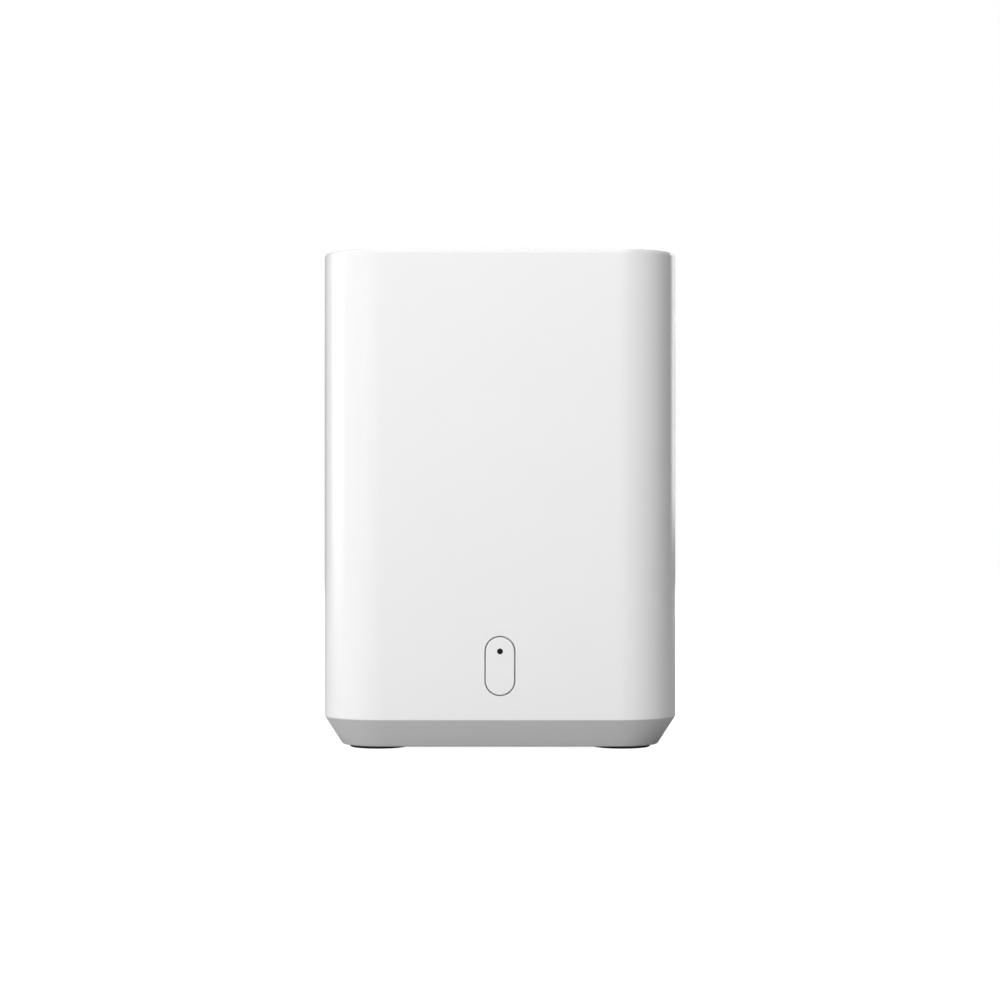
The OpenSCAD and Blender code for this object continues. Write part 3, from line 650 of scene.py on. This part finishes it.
def make_feet():
    """Rubber discs with a rounded lower edge and a shallow ring groove."""
    top_edge, low_edge, groove = 0.3, 0.45, 0.2
    low = foot_low.z
    profile = [(FOOT_R - top_edge, foot_high.z), (FOOT_R, foot_high.z - top_edge)]
    profile += arc((FOOT_R - low_edge, low + low_edge), low_edge, 0, -90, 5)
    ring = ((2.2, 0), (2.4, groove), (3.2, groove), (3.4, 0))  # inset and rise
    profile += [(FOOT_R - inset, low + rise) for inset, rise in ring]
    for row, y in (("front", -FOOT_AT), ("rear", FOOT_AT)):
        for side, x in (("left", -FOOT_AT), ("right", FOOT_AT)):
            foot = piece(f"foot_pad_{row}_{side}", turned(profile, "Z", (x, y), 16))
            dress(foot, foot_rubber, "case", [f"foot_{row}_{side}"])


def slot_reach(y, field):
    """Half length of a vent slot whose centre line is y from the middle."""
    flat = field - CORNER_R
    if abs(y) <= flat:
        return field
    return flat + math.sqrt(CORNER_R ** 2 - (abs(y) - flat) ** 2)


def make_cover():
    """Recessed top plate with a rounded field of slots, and four hooked arms below."""
    edge = INNER_R - 0.25
    plate_t, skirt_t, edge_r, slot_edge = 2, 1.6, 0.5, 0.3
    top = cover_high.z
    plate_low = top - plate_t
    profile = [(edge - skirt_t, plate_low), (edge - skirt_t, LEDGE_TOP), (edge, LEDGE_TOP)]
    profile += arc((edge - edge_r, top - edge_r), edge_r, 0, 90, 5)
    cover = piece("vent_cover", loft(square_rings(profile), steps=20))

    pitch, rows = 5.2, 6  # rows on each side of the middle one
    field = rows * pitch + SLOT_W / 2
    slots = []
    for y in [i * pitch for i in range(-rows, rows + 1)]:
        slots.append(vent_slot(0, y, SLOT_W, 2 * slot_reach(y, field), plate_low - PAST, top + PAST, True))
    combine(cover, slots)
    soften(cover, slot_edge, on_plane(2, top), 3)

    arm_w, arm_in, arm_out, hook_in, tip = 10, 42.6, 44.1, 41.3, cover_low.z
    hook_low, hook_top = tip + 1.2, tip + 1.8
    arms = []
    for turn in range(4):
        arm = prism(
            [(arm_in, plate_low), (arm_out, plate_low), (arm_out, tip), (arm_in, tip),
             (hook_in, hook_low), (hook_in, hook_top), (arm_in, hook_top)],
            "X", -arm_w / 2, arm_w / 2,
        )
        bmesh.ops.transform(arm, matrix=Matrix.Rotation(math.pi / 2 * turn, 4, "Z"), verts=arm.verts)
        arms.append(arm)
    combine(cover, arms, "UNION")
    dress(cover, white_case, "case", ["top_cover"])


# ---- Front button ----

def make_button():
    """Oval cap with a flange and a stem behind it, and a domed lens in its upper end."""
    w, h = BUTTON_W - 2 * BUTTON_GAP, BUTTON_H - 2 * BUTTON_GAP
    face = button_low.y
    flange, flange_w, flange_t = -HALF + WALL + 0.3, 0.65, 1
    edge_r, lens_edge = 0.25, 0.06
    stem_r, stem_drop = 1.6, 4.8
    collar_r, collar_end, tail_r, tail_end = 1.6, flange + 1.9, 1.2, -41.5  # light pipe behind the lens

    profile = arc((edge_r, face + edge_r), edge_r, -90, -180, 5)
    profile += [(0, flange), (-flange_w, flange), (-flange_w, flange + flange_t)]
    cap = piece("button_cap", loft(inset_rings(w, h, profile), "Y", (0, BUTTON_Z), 24))
    combine(cap, [rod(0, BUTTON_Z - stem_drop, flange + OVERLAP, button_high.y, stem_r)], "UNION")
    combine(cap, [rod(0, LENS_Z, face - PAST, flange + flange_t + PAST, LENS_R, 12)])
    near_lens = lambda p: math.hypot(p.x, p.z - LENS_Z) < LENS_R + 0.28
    soften(cap, lens_edge, on_plane(1, face, near_lens), 2)
    dress(cap, white_button, "front_button", ["front_button"])

    dome = [(0.6, 0.06), (0.3, 0.09), (0.08, 0.15), (0.0, 0.22), (0.0, 0.55)]  # inset and depth
    lens = [(LENS_R - inset, face + depth) for inset, depth in dome]
    lens += [(LENS_R, flange + flange_t), (collar_r, flange + flange_t), (collar_r, collar_end)]
    lens += [(tail_r, collar_end), (tail_r, tail_end)]
    window = piece("status_window", turned(lens, "Y", (0, LENS_Z), 12))
    dress(window, smoked, "front_button", ["light_pipe"])


# ---- Port bay ----

def make_bay():
    """Recess with a flange behind the sleeve, pegs, and cutouts for the jacks and switches."""
    flange, flange_t, flange_x, flange_z = bay_high.y, 1.4, 35, 24
    floor_r = 0.8
    peg_x, peg_z, peg_r, peg_l = 34.05, 14, 1.0, 4.4
    jack_x, jack_z, jack_r = 8.1, 6.8, 0.4
    dc_r, reset_r = 4.5, 1.4
    switch_x, switch_z, switch_r = 6.6, 4.3, 0.3
    edge = 0.2

    ring = lambda grow, r, y: (BAY_W / 2 + grow, BAY_H / 2 + grow, r, y)
    back = BAY_FACE - BAY_WALL
    rings = [ring(BAY_WALL, BAY_R + BAY_WALL, y) for y in (back, flange - flange_t)]
    rings += [(flange_x, flange_z, BAY_R + 1, y) for y in (flange - flange_t, flange)]
    rings += [ring(0, BAY_R, flange)]
    cove = arc((floor_r, BAY_FACE + floor_r), floor_r, 180, 270, 5)
    rings += [ring(-out, BAY_R - out, y) for out, y in cove]
    bay = piece("bay_liner", loft(rings, "Y", (0, BAY_Z), 12))

    pegs = [(x, BAY_Z + z) for x in (-peg_x, peg_x) for z in (-peg_z, peg_z)]
    combine(bay, [rod(x, z, flange - peg_l, flange - 1, peg_r) for x, z in pegs], "UNION")
    through = (back - PAST, BAY_FACE + PAST)
    cutouts = [loft([(jack_x, jack_z, jack_r, y) for y in through], "Y", (x, JACK_Z), 4) for x in JACK_X]
    cutouts += [rod(DC_X, UPPER_Z, *through, dc_r, 12), rod(RESET_X, UPPER_Z, *through, reset_r)]
    cutouts += [loft([(switch_x, switch_z, switch_r, y) for y in through], "Y", (ROCKER_X, UPPER_Z), 4)]
    combine(bay, cutouts)
    soften(bay, edge, on_plane(1, BAY_FACE))
    dress(bay, white_bay, "case", ["port_bay"])


def make_rocker():
    """Paddle with a hollowed face, and a bar and a ring on it, tilted to its first stop."""
    half_x, half_z, tip, dip, steps = 4.8, 3.0, 4.2, 3.4, 16
    foot_x, foot_y, heel = 2.4, -1.6, 1.0
    pivot_r, pivot_z, pivot_depth, tilt, edge = 1, 4, 2.2, 9, 0.3
    hollow = lambda x: dip + (tip - dip) * (abs(x) / half_x) ** 1.6
    face = [(x, hollow(x)) for x in [half_x - 2 * half_x * i / steps for i in range(steps + 1)]]
    foot = [(-half_x, heel), (-foot_x, foot_y), (foot_x, foot_y), (half_x, heel)]
    paddle = piece("rocker_paddle", prism(foot + face, "Z", -half_z, half_z))
    soften(paddle, edge, lambda p: p.y > 2)
    combine(paddle, [turned([(pivot_r, -pivot_z), (pivot_r, pivot_z)], "Z", (0, 0), 8)], "UNION")

    mark_x, mark_r, hole_r, bar_x, bar_r, sunk, raised = 2.7, 0.95, 0.65, 0.16, 0.15, 0.1, 0.06
    low, high = hollow(mark_x) - sunk, hollow(mark_x) + raised
    bar_rings = [(bar_x, mark_r, bar_r, y) for y in (low, high)]
    bar = piece("rocker_bar_mark", loft(bar_rings, "Y", (-mark_x, 0), 3))
    ring_rings = [(r, r, r, y) for r, y in ((mark_r, low), (mark_r, high), (hole_r, high), (hole_r, low))]
    ring = piece("rocker_ring_mark", loft(ring_rings, "Y", (mark_x, 0), closed=True))

    pivot = Vector((ROCKER_X, BAY_FACE - pivot_depth, UPPER_Z)) * MM
    rest = Matrix.Translation(pivot) @ Matrix.Rotation(math.radians(tilt), 4, "Z")
    slope = math.atan2(hollow(mark_x + 0.5) - hollow(mark_x - 0.5), 1.0)
    for mark, side in ((bar, -1), (ring, 1)):
        at = Matrix.Translation(Vector((side * mark_x, hollow(mark_x), 0)) * MM)
        mark.data.transform(rest @ at @ Matrix.Rotation(side * slope, 4, "Z") @ at.inverted())
        dress(mark, ivory_plastic, "rocker")
    paddle.data.transform(rest)
    dress(paddle, gloss_black, "rocker", ["power_rocker"])


def make_pin():
    """Centre pin of the power jack, with a stout root, a slim neck and a rounded tip."""
    tip, r, tip_r, length = pin_high.y, 1.0, 0.5, 8.4
    root_r, root_l, neck_r = 1.5, 3, r - 0.2
    root_end = pin_low.y + root_l
    profile = [(root_r, pin_low.y), (root_r, root_end), (neck_r, root_end), (neck_r, tip - length)]
    profile += [(r, tip - length)] + arc((r - tip_r, tip - tip_r), tip_r, 0, 90, 6)
    pin = piece("power_pin", turned(profile, "Y", (DC_X, UPPER_Z), 10))
    dress(pin, nickel, "case", ["dc_jack_pin"])


make_sleeve()
make_base()
make_feet()
make_cover()
make_button()
make_bay()
make_rocker()
make_pin()

# ---- CAD nodes that keep their shape: material, edge width and segments ----

jacks = {"wan_jack": blue_plastic, "lan_1_jack": yellow_plastic, "lan_2_jack": yellow_plastic}
for jack, plastic in jacks.items():
    refine(jack, plastic, 0.12)
    refine(f"{jack}_shield", tin, 0.06)
    refine(f"{jack}_contacts", gold, 0.05)
refine("jack_led_windows", clear_green, 0.15)
refine("dc_jack_body", black_plastic, 0.3, 3)
refine("power_switch_housing", black_plastic, 0.25, 3)
refine("reset_switch", black_plastic, 0.2)
refine("reset_plunger", ivory_plastic, 0.2)
refine("inner_frame", frame_resin, 0.3)
refine("rating_label", label_film)
refine("button_bracket", frame_resin, 0.2)
refine("button_board", board, 0.1)
refine("button_switch", black_plastic, 0.15)
refine("button_switch_plunger", ivory_plastic, 0.3)
refine("status_led", clear_green, 0.1)
refine("ribbon_cable", ribbon_film)
refine("ribbon_connectors", ivory_plastic, 0.12)
refine("main_board", board, 0.1)
for chips in ("processor", "memory_chips", "flash_chip", "radio_chips", "ethernet_transformers"):
    refine(chips, resin, 0.12)
for cans in ("shield_can_left", "shield_can_right", "rear_shield_can"):
    refine(cans, tin, 0.15)
refine("thermal_pads", pad_rubber, 0.1)
refine("heat_sink", aluminium, 0.15)
refine("heat_spreader", aluminium, 0.2)
refine("filter_capacitors", sleeve_film, 0.5, 3)
refine("power_inductors", ferrite, 0.3)
for antenna in ("antenna_left", "antenna_right", "antenna_front_left", "antenna_front_right"):
    refine(antenna, brass, 0.1)
refine("antenna_connectors", gold, 0.1)
refine("antenna_cables", cable_sheath)
for screws in ("base_screws", "board_screws", "heat_sink_screws", "button_screws"):
    refine(screws, zinc, 0.1)
